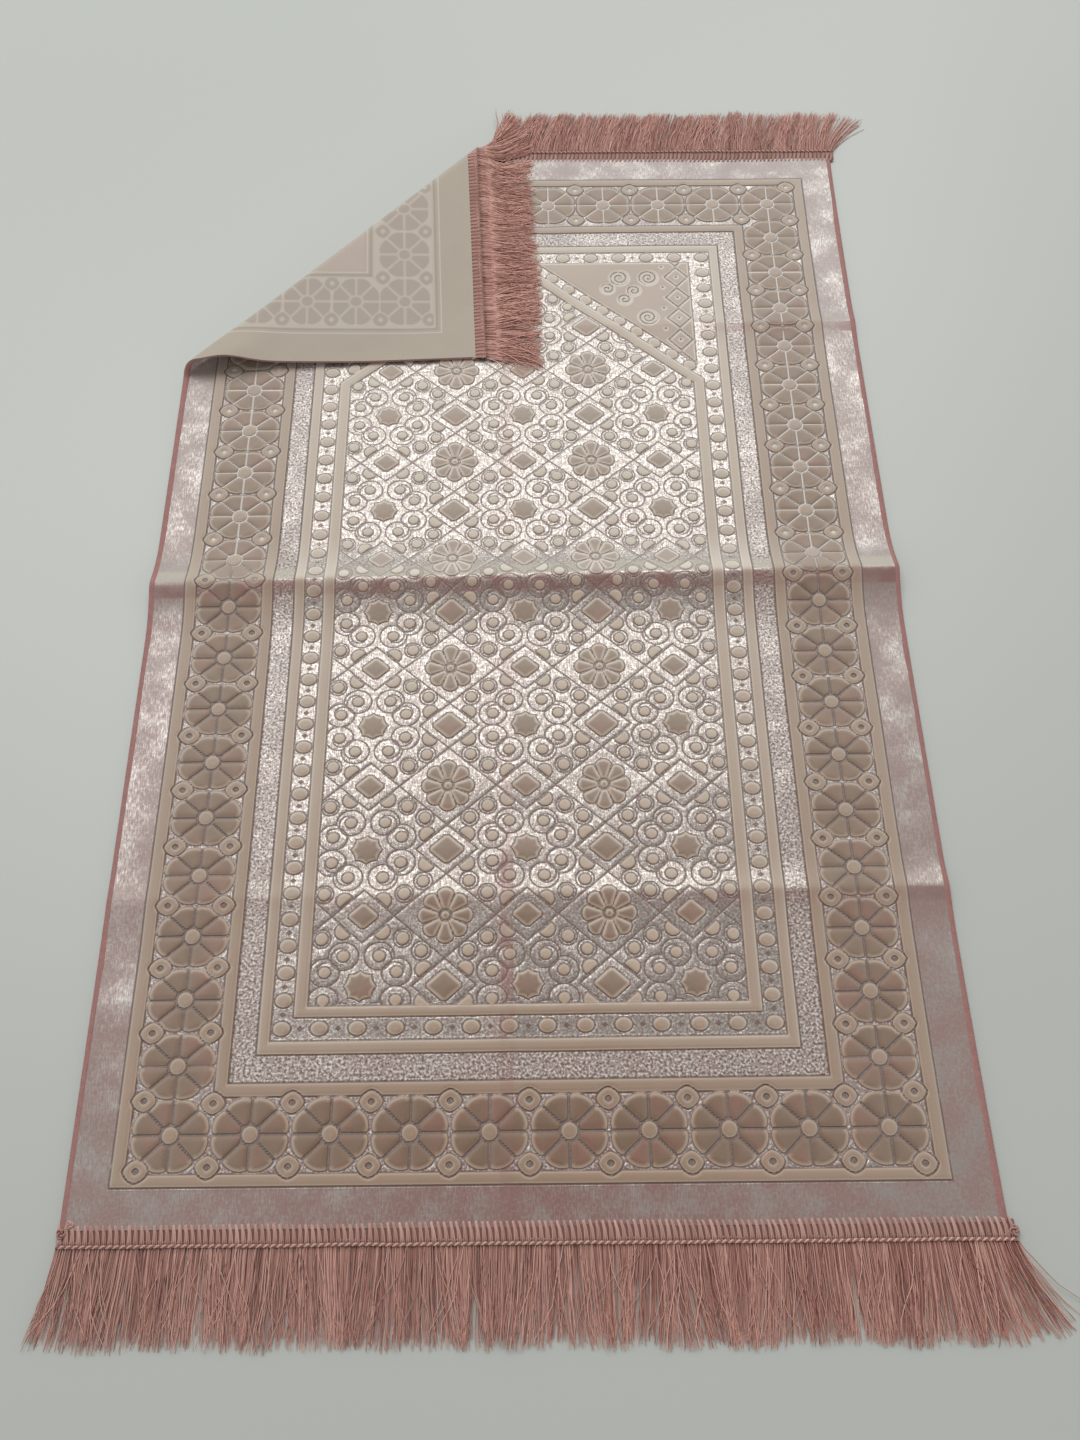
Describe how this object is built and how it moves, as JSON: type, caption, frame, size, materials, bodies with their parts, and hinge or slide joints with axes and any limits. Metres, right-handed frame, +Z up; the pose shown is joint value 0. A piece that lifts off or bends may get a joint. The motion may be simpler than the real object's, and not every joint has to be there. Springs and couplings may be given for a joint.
{
  "type": "prayer rug",
  "caption": "Carved-pile prayer rug with fringed ends, lying on a floor with a far corner turned over.",
  "frame": {"origin": "middle of the rug's box, fringes included, on the floor plane", "axes": "+X across the rug to the right, +Y along it towards the end with the turned corner and the arch's point, +Z up from the floor"},
  "size_m": [0.747, 1.2778, 0.0245],
  "materials": {
    "pile_cloth": "satin ground with matte beige carved velvet motifs, flat beige-grey back",
    "binding_yarn": "dusty rose overlock yarn",
    "fringe_yarn": "dusty rose soft yarn"
  },
  "bodies": {
    "root": {"rug_cloth": "pile_cloth", "side_binding_left": "binding_yarn", "side_binding_right": "binding_yarn", "fringe_near_end": "fringe_yarn", "fringe_far_end": "fringe_yarn"}
  },
  "joints": []
}
